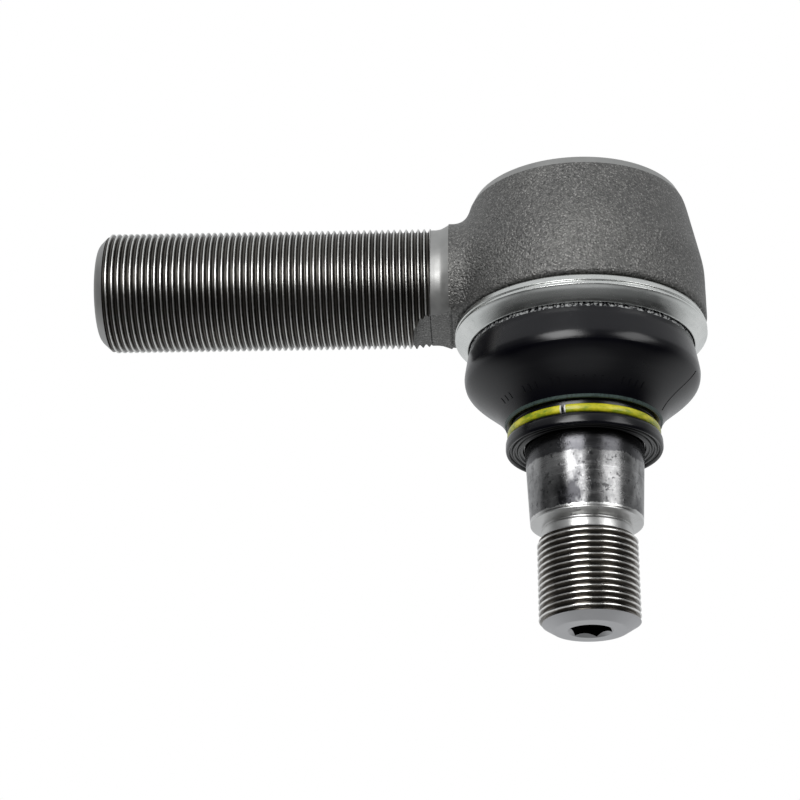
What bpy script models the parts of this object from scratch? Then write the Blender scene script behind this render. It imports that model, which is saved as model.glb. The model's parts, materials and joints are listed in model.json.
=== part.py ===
"""Heavy-duty tie rod end: a forged eye on a threaded shank, holding a ball stud under a rubber boot.

Metres, +Z up.  The shank points along -X and the ball stud hangs down along -Z.
The origin is the centre of the closing cover's flat outer face, on the stud's axis.
Every piece has its own origin at the ball's centre, because all the joints pass through it
or run parallel to the stud's axis.  Sections are written as (radius, height) from that centre.
"""

import math

import bmesh
import bpy
from mathutils import Vector

MM = 0.001

# ---- driving dimensions, millimetres -------------------------------------------------------
COVER_FACE = 22.5            # ball centre up to the cover's outer face
FIT_GAP = 0.3                # room left between touching pieces
FINE_STEPS = 48              # facets round the large pieces
COARSE_STEPS = 36            # facets round the small inner pieces

BALL_RADIUS = 19.5
BALL_FLAT = 17.0             # height of the flat turned on the ball's crown
NECK_RADIUS = 11.5
STUD_COLLAR_RADIUS = 15.0    # cylinder that the boot's lip runs on
STUD_COLLAR_TOP = -33.5
STUD_COLLAR_END = -43.2
CONE_END_RADIUS = 13.4       # small end of the 1:10 cone
CONE_TAPER = 0.05            # radius per unit of length
CONE_TOP = -43.5
CONE_END = -63.0
SHOULDER_RADIUS = 11.0       # small end of the shallow shoulder under the cone
SHOULDER_END = -63.8
STUD_RELIEF_RADIUS = 10.9
STUD_THREAD_RADIUS = 11.93   # M24 x 1.5, crest
STUD_THREAD_TOP = -67.3
STUD_THREAD_END = -86.9
STUD_END = -88.9
STUD_END_RADIUS = 8.7
SOCKET_FLATS = 9.0           # hexagon across flats
SOCKET_MOUTH_RADIUS = 5.35
SOCKET_DEPTH = 8.0
SOCKET_TURN = 11.6           # degrees from +X to a corner of the hexagon

SEAT_INNER = BALL_RADIUS + FIT_GAP
BORE_RADIUS = 23.5
BORE_FLOOR = -9.1
COVER_LEDGE = 17.8
COVER_BORE_RADIUS = 25.0
RIM_UNDERSIDE = 21.0
RIM_TOP = 21.9
RIM_INNER_RADIUS = 22.6
EYE_RADIUS = 31.0
EYE_FLOOR = -11.5            # flat underside of the forging
SPIGOT_RADIUS = 29.3         # seat of the boot's retaining ring
SPIGOT_END = -14.0
THROAT_RADIUS = 18.3         # opening under the lower seat
MOUTH_RADIUS = 20.0          # the stud swings inside this opening

SHANK_RADIUS = 14.93         # M30 x 1.5, crest
SHANK_END = 119.4            # ball centre to the shank's end face
SHANK_CHAMFER_START = 116.6
SHANK_END_RADIUS = 12.4
SHANK_THREAD_END = 37.0
COLLAR_RADIUS = 14.55        # turned collar behind the thread
NECK_HALF_HEIGHT = 15.95
UNDERCUT_END = 41.4          # where the flat underside leaves the shank
UNDERCUT_RADIUS = 4.6

BOOT_TOP = SPIGOT_END - FIT_GAP
RING_END = -17.8             # lower edge of the boot's retaining ring
CLAMP_CENTRE = -40.2
CLAMP_HEIGHT = 2.0
CLAMP_INNER_RADIUS = 17.6
CLAMP_OUTER_RADIUS = 18.5
CLAMP_SPLIT_WIDTH = 1.2
GROOVE_RADIUS = 17.3         # bottom of the boot's groove for the clamp ring
GROOVE_TOP = -38.0
GROOVE_END = -41.5
CLAMP_SPLIT_ANGLE = 252.0    # degrees from +X about +Z

SPRING_INNER_RADIUS = 15.5
SPRING_OUTER_RADIUS = 23.0
SPRING_THICKNESS = 0.9
SPRING_CONE = 0.5
PLATE_BOTTOM = 13.6
PLATE_TOP = 14.4


# ---- tools -----------------------------------------------------------------------------------
def clear_scene():
    for old in list(bpy.data.objects):
        bpy.data.objects.remove(old, do_unlink=True)


def finish(name, colour, roughness, metallic):
    """A plain surface finish for one piece."""
    material = bpy.data.materials.new(name)
    material.use_nodes = True
    shader = material.node_tree.nodes["Principled BSDF"]
    shader.inputs["Base Color"].default_value = (*colour, 1.0)
    shader.inputs["Roughness"].default_value = roughness
    shader.inputs["Metallic"].default_value = metallic
    return material


def arc(centre_r, centre_z, radius, start, end, steps):
    """Points on an arc, from start to end degrees, 0 pointing outward and 90 up."""
    points = []
    for i in range(steps + 1):
        angle = math.radians(start + (end - start) * i / steps)
        points.append((centre_r + radius * math.cos(angle), centre_z + radius * math.sin(angle)))
    return points


def smooth_path(knots, steps):
    """A Catmull-Rom curve through the knots, steps pieces between each two."""
    points = []
    padded = [knots[0]] + list(knots) + [knots[-1]]
    for i in range(1, len(padded) - 2):
        p0, p1, p2, p3 = (Vector(padded[j]) for j in (i - 1, i, i + 1, i + 2))
        for k in range(steps):
            t = k / steps
            even = p1 * 2 + (2 * p0 - 5 * p1 + 4 * p2 - p3) * t * t
            odd = (p2 - p0) * t + (3 * p1 - p0 - 3 * p2 + p3) * t ** 3
            point = (even + odd) / 2
            points.append((point.x, point.y))
    points.append(tuple(knots[-1]))
    return points


def sphere_radius(radius, height):
    """Radius of the circle that a sphere shows at this height."""
    return math.sqrt(radius ** 2 - height ** 2)


def sphere_arc(radius, top, bottom, steps):
    """Points down a sphere's side, between two heights."""
    start = math.degrees(math.asin(top / radius))
    end = math.degrees(math.asin(bottom / radius))
    return arc(0.0, 0.0, radius, start, end, steps)


def place(obj, material, parent=None):
    """Puts a piece's origin at the ball's centre and gives it its finish and its parent."""
    bpy.context.collection.objects.link(obj)
    obj.location = (0.0, 0.0, -COVER_FACE * MM)
    if material:
        obj.data.materials.append(material)
    if parent:
        obj.parent = parent
        obj.location = (0.0, 0.0, 0.0)
    obj.data.shade_smooth()
    obj.data.set_sharp_from_angle(angle=math.radians(30.0))
    return obj


def turned(name, section, steps, closed=True):
    """A turned piece: a section in the XZ plane, outer side running down, swept about Z."""
    mesh = bpy.data.meshes.new(name)
    verts = [(r * MM, 0.0, z * MM) for r, z in section]
    edges = [(i, i + 1) for i in range(len(section) - 1)]
    if closed:
        edges.append((len(section) - 1, 0))
    mesh.from_pydata(verts, edges, [])
    obj = bpy.data.objects.new(name, mesh)
    screw = obj.modifiers.new("turn", "SCREW")
    screw.axis = "Z"
    screw.steps = steps
    screw.render_steps = steps
    screw.use_merge_vertices = True
    screw.merge_threshold = 0.00001
    screw.use_smooth_shade = True
    return obj


def prism(name, outline, low, high, axis):
    """An outline of (a, b) points pushed from low to high along one axis."""
    bm = bmesh.new()
    if axis == "Y":
        corners = [bm.verts.new((a * MM, low * MM, b * MM)) for a, b in outline]
        push = Vector((0.0, (high - low) * MM, 0.0))
    else:
        corners = [bm.verts.new((a * MM, b * MM, low * MM)) for a, b in outline]
        push = Vector((0.0, 0.0, (high - low) * MM))
    face = bm.faces.new(corners)
    grown = bmesh.ops.extrude_face_region(bm, geom=[face])
    moved = [item for item in grown["geom"] if isinstance(item, bmesh.types.BMVert)]
    bmesh.ops.translate(bm, verts=moved, vec=push)
    bmesh.ops.recalc_face_normals(bm, faces=bm.faces)
    mesh = bpy.data.meshes.new(name)
    bm.to_mesh(mesh)
    bm.free()
    return bpy.data.objects.new(name, mesh)


def loft(name, sections):
    """A solid through oval rings across -X, each (distance, half width, half height)."""
    bm = bmesh.new()
    rings = []
    for distance, half_width, half_height in sections:
        ring = []
        for i in range(FINE_STEPS):
            angle = 2.0 * math.pi * i / FINE_STEPS
            y = half_width * math.cos(angle)
            z = half_height * math.sin(angle)
            ring.append(bm.verts.new((-distance * MM, y * MM, z * MM)))
        rings.append(ring)
    for near, far in zip(rings, rings[1:]):
        for i in range(FINE_STEPS):
            j = (i + 1) % FINE_STEPS
            bm.faces.new((near[i], near[j], far[j], far[i]))
    bm.faces.new(rings[0])
    bm.faces.new(rings[-1])
    bmesh.ops.recalc_face_normals(bm, faces=bm.faces)
    mesh = bpy.data.meshes.new(name)
    bm.to_mesh(mesh)
    bm.free()
    return bpy.data.objects.new(name, mesh)


def guide(obj):
    """Marks a solid that only shapes another one."""
    place(obj, None)
    obj.hide_render = True
    obj.display_type = "WIRE"
    return obj


def combine(obj, other, operation):
    step = obj.modifiers.new(other.name, "BOOLEAN")
    step.operation = operation
    step.solver = "EXACT"
    step.object = other


def pivot(name, parent=None):
    """An empty at the ball's centre, where a group of moving pieces turns."""
    empty = bpy.data.objects.new(name, None)
    bpy.context.collection.objects.link(empty)
    if parent:
        empty.parent = parent
    else:
        empty.location = (0.0, 0.0, -COVER_FACE * MM)
    return empty


# ---- the eye, its shank and what closes it ---------------------------------------------------
def shank():
    """Threaded shank, turned collar and forged neck that widens into the eye, along -X."""
    sections = [
        (SHANK_END, SHANK_END_RADIUS, SHANK_END_RADIUS),
        (SHANK_CHAMFER_START, SHANK_RADIUS, SHANK_RADIUS),
        (SHANK_THREAD_END, SHANK_RADIUS, SHANK_RADIUS),
        (36.6, COLLAR_RADIUS, COLLAR_RADIUS),
        (34.8, COLLAR_RADIUS, COLLAR_RADIUS),
        (33.6, 14.95, 14.95),
        (32.0, NECK_HALF_HEIGHT, NECK_HALF_HEIGHT),
        (30.4, 16.15, 16.05),
        (29.0, 16.5, 16.3),
        (27.8, 17.0, 16.9),
        (26.8, 17.6, 17.9),
        (25.2, 18.9, 20.3),
        (23.0, 21.3, 20.3),
        (20.0, 24.2, 20.3),
    ]
    bar = guide(loft("shank_guide", sections))
    rim_centre = UNDERCUT_RADIUS - UNDERCUT_END
    rim = arc(rim_centre, EYE_FLOOR - UNDERCUT_RADIUS, UNDERCUT_RADIUS, 90.0, 180.0, 4)
    outline = [(0.0, EYE_FLOOR)] + rim + [(-UNDERCUT_END, -30.0), (0.0, -30.0)]
    undercut = guide(prism("underside_guide", outline, -28.0, 28.0, "Y"))
    combine(bar, undercut, "DIFFERENCE")
    return bar


def bore():
    """What is machined out of the eye: cover seat, main bore, and the flared mouth below."""
    beyond = 2.0
    section = [
        (0.0, RIM_TOP + beyond),
        (RIM_INNER_RADIUS, RIM_TOP + beyond),
        (RIM_INNER_RADIUS, RIM_UNDERSIDE),
        (COVER_BORE_RADIUS, RIM_UNDERSIDE),
        (COVER_BORE_RADIUS, COVER_LEDGE),
        (BORE_RADIUS, COVER_LEDGE),
        (BORE_RADIUS, BORE_FLOOR),
        (THROAT_RADIUS, BORE_FLOOR),
        (MOUTH_RADIUS, SPIGOT_END),
        (MOUTH_RADIUS, SPIGOT_END - beyond),
        (0.0, SPIGOT_END - beyond),
    ]
    return guide(turned("bore_guide", section, FINE_STEPS, closed=False))


def housing(parent):
    """The forging: a barrel-shaped eye with a flat underside and a spigot, joined to the shank."""
    section = [(0.0, RIM_TOP), (26.2, RIM_TOP), (27.2, 19.3)]
    section += [(28.3, 16.0), (29.2, 11.5), (30.3, 6.0), (EYE_RADIUS, 1.0), (EYE_RADIUS, -4.0)]
    section += [
        (30.8, EYE_FLOOR),
        (SPIGOT_RADIUS, EYE_FLOOR),
        (SPIGOT_RADIUS, SPIGOT_END),
        (0.0, SPIGOT_END),
    ]
    forging = finish("forged_steel", (0.11, 0.11, 0.115), 0.55, 1.0)
    eye = place(turned("housing", section, FINE_STEPS, closed=False), forging, parent)
    combine(eye, shank(), "UNION")
    combine(eye, bore(), "DIFFERENCE")
    return eye


def cover_plate(parent):
    """Pressed plate under the rolled rim, its middle raised for the ball's crown."""
    outer_radius = COVER_BORE_RADIUS - FIT_GAP
    underside = COVER_LEDGE + FIT_GAP
    flange_top = RIM_UNDERSIDE - FIT_GAP
    section = [
        (0.0, COVER_FACE),
        (13.5, COVER_FACE),
        (15.5, flange_top),
        (23.4, flange_top),
        (23.4, flange_top - 1.3),
        (outer_radius, flange_top - 1.3),
        (outer_radius, underside),
        (14.5, underside),
        (12.5, 20.2),
        (0.0, 20.2),
    ]
    steel = finish("cover_steel", (0.3, 0.3, 0.3), 0.4, 1.0)
    return place(turned("cover_plate", section, COARSE_STEPS, closed=False), steel, parent)


def cover_seal_ring(parent):
    """Rubber ring squeezed between the cover's edge and the rolled rim."""
    section = arc(24.2, RIM_UNDERSIDE - 0.8, 0.5, 90.0, -225.0, 7)
    rubber = finish("seal_rubber", (0.02, 0.02, 0.02), 0.7, 0.0)
    return place(turned("cover_seal_ring", section, COARSE_STEPS), rubber, parent)


# ---- the bearing inside the eye --------------------------------------------------------------
def lower_ball_seat(parent):
    """Plastic shell that carries the ball's lower half."""
    outer_radius = BORE_RADIUS - FIT_GAP
    bottom = BORE_FLOOR + FIT_GAP
    section = [(outer_radius, -0.3), (outer_radius, bottom)]
    section += reversed(sphere_arc(SEAT_INNER, -0.3, bottom, 6))
    plastic = finish("seat_plastic", (0.75, 0.74, 0.7), 0.45, 0.0)
    return place(turned("lower_ball_seat", section, COARSE_STEPS), plastic, parent)


def upper_ball_seat(parent):
    """Plastic shell that the springs press down on the ball's upper half."""
    outer_radius = BORE_RADIUS - FIT_GAP
    top = PLATE_BOTTOM - FIT_GAP
    section = [(outer_radius, top), (outer_radius, 0.3)]
    section += reversed(sphere_arc(SEAT_INNER, 12.9, 0.3, 8))
    section += [(sphere_radius(SEAT_INNER, 12.9), top)]
    plastic = finish("upper_seat_plastic", (0.72, 0.71, 0.66), 0.45, 0.0)
    return place(turned("upper_ball_seat", section, COARSE_STEPS), plastic, parent)


def spring_plate(parent):
    """Hard washer that spreads the springs' load over the plastic."""
    section = [
        (SPRING_OUTER_RADIUS, PLATE_TOP),
        (SPRING_OUTER_RADIUS, PLATE_BOTTOM),
        (SPRING_INNER_RADIUS, PLATE_BOTTOM),
        (SPRING_INNER_RADIUS, PLATE_TOP),
    ]
    steel = finish("plate_steel", (0.4, 0.4, 0.4), 0.35, 1.0)
    return place(turned("spring_plate", section, COARSE_STEPS), steel, parent)


def disc_spring(name, bottom, rises_inward, parent):
    """One coned spring washer, its raised edge at the hole or at the rim."""
    inner_lift = SPRING_CONE if rises_inward else 0.0
    outer_lift = SPRING_CONE - inner_lift
    section = [
        (SPRING_OUTER_RADIUS, bottom + outer_lift + SPRING_THICKNESS),
        (SPRING_OUTER_RADIUS, bottom + outer_lift),
        (SPRING_INNER_RADIUS, bottom + inner_lift),
        (SPRING_INNER_RADIUS, bottom + inner_lift + SPRING_THICKNESS),
    ]
    steel = finish(name + "_steel", (0.2, 0.2, 0.22), 0.3, 1.0)
    return place(turned(name, section, COARSE_STEPS), steel, parent)


# ---- the boot and its rings ------------------------------------------------------------------
def boot_retaining_ring(parent):
    """Zinc-plated ring pressed over the eye's spigot, coned in below to hold the boot's bead."""
    section = [
        (30.7, EYE_FLOOR - FIT_GAP),
        (30.95, -12.4),
        (30.95, -13.7),
        (30.2, -15.2),
        (28.2, RING_END),
        (27.5, RING_END),
        (29.1, -15.1),
        (SPIGOT_RADIUS + FIT_GAP, -14.1),
        (SPIGOT_RADIUS + FIT_GAP, EYE_FLOOR - FIT_GAP),
    ]
    zinc = finish("zinc_plate", (0.6, 0.61, 0.6), 0.3, 1.0)
    return place(turned("boot_retaining_ring", section, FINE_STEPS), zinc, parent)


def boot(parent):
    """Rubber boot: a bead inside the retaining ring, a bulge, a clamp groove and a wiping lip."""
    outer = [(28.6, BOOT_TOP), (28.6, -14.9), (27.0, RING_END)]
    outer += smooth_path([(27.4, -19.0), (28.2, -22.5), (28.65, -25.6), (27.7, -28.3)], 2)
    outer += smooth_path([(25.9, -30.0), (23.2, -32.2), (20.9, -34.5), (19.7, -36.1), (18.9, -37.7)], 1)
    outer += [
        (GROOVE_RADIUS, GROOVE_TOP),
        (GROOVE_RADIUS, GROOVE_END),
        (18.8, -41.8),
        (18.9, -43.4),
        (18.5, -44.6),
    ]
    inner = [(14.8, -44.6), (14.8, -43.8), (16.8, -43.4), (16.8, -36.8)]
    inner += smooth_path([(17.9, -35.3), (20.0, -32.9), (22.6, -30.6), (25.0, -28.0), (26.1, -25.2)], 1)
    inner += [(25.8, -22.0), (25.1, -19.0), (24.5, -16.5), (24.3, BOOT_TOP)]
    rubber = finish("boot_rubber", (0.02, 0.02, 0.022), 0.45, 0.0)
    return place(turned("boot", outer + inner, FINE_STEPS), rubber, parent)


def boot_clamp_ring(parent):
    """Yellow split ring that squeezes the boot's lower end onto its support ring."""
    half = CLAMP_HEIGHT / 2
    section = [
        (18.2, CLAMP_CENTRE + half),
        (CLAMP_OUTER_RADIUS, CLAMP_CENTRE + 0.6),
        (CLAMP_OUTER_RADIUS, CLAMP_CENTRE - 0.6),
        (18.2, CLAMP_CENTRE - half),
        (CLAMP_INNER_RADIUS, CLAMP_CENTRE - half),
        (CLAMP_INNER_RADIUS, CLAMP_CENTRE + half),
    ]
    yellow = finish("yellow_ring", (0.75, 0.72, 0.08), 0.4, 0.0)
    ring = place(turned("boot_clamp_ring", section, FINE_STEPS), yellow, parent)
    half_split = CLAMP_SPLIT_WIDTH / 2
    outline = [(15.0, -half_split), (21.0, -half_split), (21.0, half_split), (15.0, half_split)]
    split = guide(prism("clamp_split_guide", outline, CLAMP_CENTRE - 2.0, CLAMP_CENTRE + 2.0, "Z"))
    split.rotation_euler = (0.0, 0.0, math.radians(CLAMP_SPLIT_ANGLE))
    combine(ring, split, "DIFFERENCE")
    return ring


def lip_support_ring(parent):
    """Steel ring inside the boot's lower end, free to turn on the stud's collar."""
    section = [
        (16.5, -37.1),
        (16.5, -43.0),
        (STUD_COLLAR_RADIUS + FIT_GAP, -43.0),
        (STUD_COLLAR_RADIUS + FIT_GAP, -37.1),
    ]
    steel = finish("support_steel", (0.4, 0.4, 0.38), 0.4, 1.0)
    return place(turned("lip_support_ring", section, COARSE_STEPS), steel, parent)


# ---- the ball stud ---------------------------------------------------------------------------
def ball_stud(parent):
    """Ball, neck, boot collar, 1:10 cone, relief and thread, all turned from one bar."""
    cone_top_radius = CONE_END_RADIUS + CONE_TAPER * (CONE_TOP - CONE_END)
    neck_top = -sphere_radius(BALL_RADIUS, NECK_RADIUS)
    section = [(0.0, BALL_FLAT)]
    section += sphere_arc(BALL_RADIUS, BALL_FLAT, neck_top, 14)
    section += [(NECK_RADIUS, -28.0), (12.0, -30.6), (13.4, -32.7)]
    section += [
        (STUD_COLLAR_RADIUS, STUD_COLLAR_TOP),
        (STUD_COLLAR_RADIUS, STUD_COLLAR_END),
        (cone_top_radius, CONE_TOP),
        (CONE_END_RADIUS, CONE_END),
        (SHOULDER_RADIUS, SHOULDER_END),
        (STUD_RELIEF_RADIUS, SHOULDER_END - 0.4),
        (STUD_RELIEF_RADIUS, STUD_THREAD_TOP + 0.9),
        (STUD_THREAD_RADIUS, STUD_THREAD_TOP),
        (STUD_THREAD_RADIUS, STUD_THREAD_END),
        (STUD_END_RADIUS, STUD_END),
        (0.0, STUD_END),
    ]
    steel = finish("stud_steel", (0.32, 0.32, 0.33), 0.3, 1.0)
    stud = place(turned("ball_stud", section, FINE_STEPS, closed=False), steel, parent)

    corner = SOCKET_FLATS / math.sqrt(3.0)
    hexagon = arc(0.0, 0.0, corner, SOCKET_TURN, SOCKET_TURN + 300.0, 5)
    floor = STUD_END + SOCKET_DEPTH
    hexagonal = guide(prism("socket_guide", hexagon, STUD_END - 2.0, floor, "Z"))
    mouth = [
        (0.0, STUD_END + 1.0),
        (SOCKET_MOUTH_RADIUS - 1.0, STUD_END + 1.0),
        (SOCKET_MOUTH_RADIUS + 1.0, STUD_END - 1.0),
        (0.0, STUD_END - 1.0),
    ]
    countersink = guide(turned("socket_mouth_guide", mouth, COARSE_STEPS, closed=False))
    combine(stud, hexagonal, "DIFFERENCE")
    combine(stud, countersink, "DIFFERENCE")
    return stud


# ---- assembly --------------------------------------------------------------------------------
def build():
    clear_scene()
    eye_group = pivot("eye_group")
    housing(eye_group)
    cover_plate(eye_group)
    cover_seal_ring(eye_group)
    lower_ball_seat(eye_group)
    boot_retaining_ring(eye_group)

    pad_group = pivot("pad_group", eye_group)
    upper_ball_seat(pad_group)
    spring_plate(pad_group)
    lower_spring_bottom = PLATE_TOP + FIT_GAP
    upper_spring_bottom = lower_spring_bottom + SPRING_CONE + SPRING_THICKNESS + FIT_GAP
    disc_spring("lower_disc_spring", lower_spring_bottom, True, eye_group)
    disc_spring("upper_disc_spring", upper_spring_bottom, False, eye_group)

    boot_group = pivot("boot_group", eye_group)
    boot(boot_group)
    lip_group = pivot("lip_group", boot_group)
    boot_clamp_ring(lip_group)
    lip_support_ring(lip_group)
    stud_group = pivot("stud_group", lip_group)
    ball_stud(stud_group)


build()
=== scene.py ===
"""Looks of the heavy-duty tie rod end: forging, threads, plated ring, rubber boot and ground stud."""

import json
import math

import bmesh
import bpy
import numpy as np
from mathutils import Matrix, Vector


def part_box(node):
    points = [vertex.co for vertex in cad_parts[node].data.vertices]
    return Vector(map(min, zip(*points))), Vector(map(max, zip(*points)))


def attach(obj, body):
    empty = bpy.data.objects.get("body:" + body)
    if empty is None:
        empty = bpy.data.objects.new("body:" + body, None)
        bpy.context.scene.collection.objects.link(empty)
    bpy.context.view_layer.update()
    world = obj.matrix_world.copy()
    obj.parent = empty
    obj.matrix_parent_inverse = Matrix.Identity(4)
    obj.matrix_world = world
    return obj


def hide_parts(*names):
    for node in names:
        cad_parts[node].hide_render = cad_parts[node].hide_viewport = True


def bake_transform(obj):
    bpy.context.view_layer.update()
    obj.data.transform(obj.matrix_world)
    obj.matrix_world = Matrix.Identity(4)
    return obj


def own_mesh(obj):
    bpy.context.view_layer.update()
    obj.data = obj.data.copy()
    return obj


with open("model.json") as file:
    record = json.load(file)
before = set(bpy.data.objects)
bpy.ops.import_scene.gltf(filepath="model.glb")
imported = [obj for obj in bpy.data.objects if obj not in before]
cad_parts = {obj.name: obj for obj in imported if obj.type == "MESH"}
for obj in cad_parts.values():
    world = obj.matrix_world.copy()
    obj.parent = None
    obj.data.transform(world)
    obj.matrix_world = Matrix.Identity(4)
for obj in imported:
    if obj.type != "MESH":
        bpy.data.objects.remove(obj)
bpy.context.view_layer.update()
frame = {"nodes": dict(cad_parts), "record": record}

MM = 0.001
JOINT = {joint["name"]: joint for joint in frame["record"]["behaviour"]["joints"]}
BALL = Vector(JOINT["stud_tilt_sideways"]["pos_m"])     # centre of the ball, where all joints meet


def mm(node):
    """A CAD node's lowest and highest corners, in millimetres from the ball's centre."""
    low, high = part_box(node)
    return [(value - centre) / MM for value, centre in zip(low, BALL)], \
        [(value - centre) / MM for value, centre in zip(high, BALL)]


HOUSING_LOW, HOUSING_HIGH = mm("housing")
STUD_LOW, STUD_HIGH = mm("ball_stud")
RING_LOW, RING_HIGH = mm("boot_retaining_ring")
CLAMP_LOW, CLAMP_HIGH = mm("boot_clamp_ring")
BOOT_BOTTOM = mm("boot")[0][2]
COVER_TOP = mm("cover_plate")[1][2]

PITCH = 1.5                  # of both threads
SPRING_HOLE = 15.5           # radius of the disc springs' hole
SPRING_THICKNESS = 0.9
LOWER_RISES = True           # the lower spring's raised edge is at its hole
EYE_FLOOR = -11.5            # flat underside of the forging
HOUSING_SPIGOT = -14.0       # end of the short spigot that carries the retaining ring
EYE_RADIUS = HOUSING_HIGH[0]
RIM_TOP = HOUSING_HIGH[2]
SHANK_END = -HOUSING_LOW[0]
SHANK_CREST = 14.93
COLLAR_START = 37.0
COLLAR_END = 32.0
NECK_RADIUS = 16.05
STUD_CREST = 11.93
STUD_END = STUD_LOW[2]
THREAD_DEPTH = 0.61343 * PITCH       # as a metric external thread is cut
FINE = 192                   # facets round a turned piece
SPLIT_ANGLE = math.radians(252.0)    # where the clamp ring is split, from +X about +Z
SPLIT_HALF = 0.42            # half the gap in the clamp ring
GROOVE_TOP = -38.0           # the boot's groove for the clamp ring
GROOVE_RADIUS = 17.3
SHOULDER_END = -63.8         # small end of the shoulder under the cone
RELIEF_RADIUS = 10.9         # of the groove between the shoulder and the stud's thread
BALL_RADIUS = 19.5


# ---- mesh tools ------------------------------------------------------------------------------
def mesh_object(name, verts, faces, material, angle=35.0):
    """An object from points in millimetres from the ball's centre."""
    mesh = bpy.data.meshes.new(name)
    points = np.asarray(verts, float) * MM + np.array(BALL)
    mesh.from_pydata(points.tolist(), [], [tuple(int(i) for i in face) for face in faces])
    mesh.validate()
    obj = bpy.data.objects.new(name, mesh)
    bpy.context.collection.objects.link(obj)
    mesh.materials.append(material)
    mesh.shade_smooth()
    mesh.set_sharp_from_angle(angle=math.radians(angle))
    return obj


def soften(points, steps=5):
    """Rounds the corners of a section: each point is (r, z) or (r, z, radius)."""
    out = []
    count = len(points)
    for i, point in enumerate(points):
        corner = Vector(point[:2])
        radius = point[2] if len(point) > 2 else 0.0
        if radius <= 0.0 or i in (0, count - 1):
            out.append(tuple(corner))
            continue
        before = Vector(points[i - 1][:2]) - corner
        after = Vector(points[i + 1][:2]) - corner
        start = corner + before.normalized() * min(radius, before.length * 0.48)
        end = corner + after.normalized() * min(radius, after.length * 0.48)
        for k in range(steps + 1):
            t = k / steps
            spot = start * (1 - t) ** 2 + corner * 2 * t * (1 - t) + end * t * t
            out.append(tuple(spot))
    return out


def curve_through(knots, steps):
    """A Catmull-Rom curve through the knots."""
    points = []
    padded = [knots[0]] + list(knots) + [knots[-1]]
    for i in range(1, len(padded) - 2):
        p0, p1, p2, p3 = (np.array(padded[j], float) for j in (i - 1, i, i + 1, i + 2))
        for k in range(steps):
            t = k / steps
            even = 2 * p1 + (2 * p0 - 5 * p1 + 4 * p2 - p3) * t * t
            odd = (p2 - p0) * t + (3 * p1 - p0 - 3 * p2 + p3) * t ** 3
            points.append(tuple((even + odd) / 2))
    points.append(tuple(knots[-1]))
    return points


def arc(centre_r, centre_z, radius, start, end, steps):
    """Points on an arc, from start to end degrees, 0 outward and 90 up."""
    angles = [math.radians(start + (end - start) * i / steps) for i in range(steps + 1)]
    return [(centre_r + radius * math.cos(a), centre_z + radius * math.sin(a)) for a in angles]


def turned(name, section, material, closed=True, steps=FINE, axis="Z", angle=35.0, phase=0.0):
    """A section swept round the stud's axis, or round the shank's with (r, distance)."""
    section = np.array(section, float)
    count = len(section)
    angles = 2 * math.pi * (np.arange(steps) + phase) / steps
    r = section[:, 0][None, :]
    h = np.broadcast_to(section[:, 1][None, :], (steps, count))
    side = r * np.cos(angles)[:, None]
    front = r * np.sin(angles)[:, None]
    if axis == "Z":
        verts = np.stack([side, front, h], -1).reshape(-1, 3)
    else:
        verts = np.stack([-h, front, side], -1).reshape(-1, 3)
    faces = []
    spans = count if closed else count - 1
    for j in range(steps):
        k = (j + 1) % steps
        for i in range(spans):
            n = (i + 1) % count
            quad = [j * count + i, j * count + n, k * count + n, k * count + i]
            faces.append(quad)
    verts = verts.tolist()
    if not closed:
        for i in (0, count - 1):
            if section[i, 0] < 1e-6:
                continue
            middle = len(verts)
            spot = (0.0, 0.0, section[i, 1]) if axis == "Z" else (-section[i, 1], 0.0, 0.0)
            verts.append(spot)
            for j in range(steps):
                k = (j + 1) % steps
                pair = [j * count + i, k * count + i]
                faces.append(([middle] + pair) if i == 0 else ([middle] + pair[::-1]))
    obj = mesh_object(name, verts, faces, material, angle)
    weld(obj)
    return obj


def weld(obj):
    """Merges doubled points and turns every face outward."""
    bm = bmesh.new()
    bm.from_mesh(obj.data)
    bmesh.ops.remove_doubles(bm, verts=bm.verts, dist=1e-7)
    bmesh.ops.dissolve_degenerate(bm, edges=bm.edges, dist=1e-8)
    bmesh.ops.recalc_face_normals(bm, faces=bm.faces)
    bm.to_mesh(obj.data)
    bm.free()


def cut(obj, cutter, operation="DIFFERENCE", angle=35.0):
    """Machines obj with a solid, which is then dropped; new faces take the cutter's finish."""
    step = obj.modifiers.new("cut", "BOOLEAN")
    step.operation = operation
    step.solver = "EXACT"
    step.object = cutter
    step.material_mode = "TRANSFER"
    depsgraph = bpy.context.evaluated_depsgraph_get()
    made = bpy.data.meshes.new_from_object(obj.evaluated_get(depsgraph), depsgraph=depsgraph)
    obj.modifiers.clear()
    old = obj.data
    obj.data = made
    made.name = old.name
    bpy.data.meshes.remove(old)
    bpy.data.objects.remove(cutter, do_unlink=True)
    made.shade_smooth()
    made.set_sharp_from_angle(angle=math.radians(angle))
    return obj


def prism(name, outline, low, high, axis, material):
    """An outline pushed along Y (points are x, z) or along Z (points are x, y)."""
    count = len(outline)
    verts = []
    for level in (low, high):
        for a, b in outline:
            verts.append((a, level, b) if axis == "Y" else (a, b, level))
    faces = [list(range(count)), list(range(count, 2 * count))]
    for i in range(count):
        j = (i + 1) % count
        faces.append([i, j, count + j, count + i])
    obj = mesh_object(name, verts, faces, material)
    weld(obj)
    return obj


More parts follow.
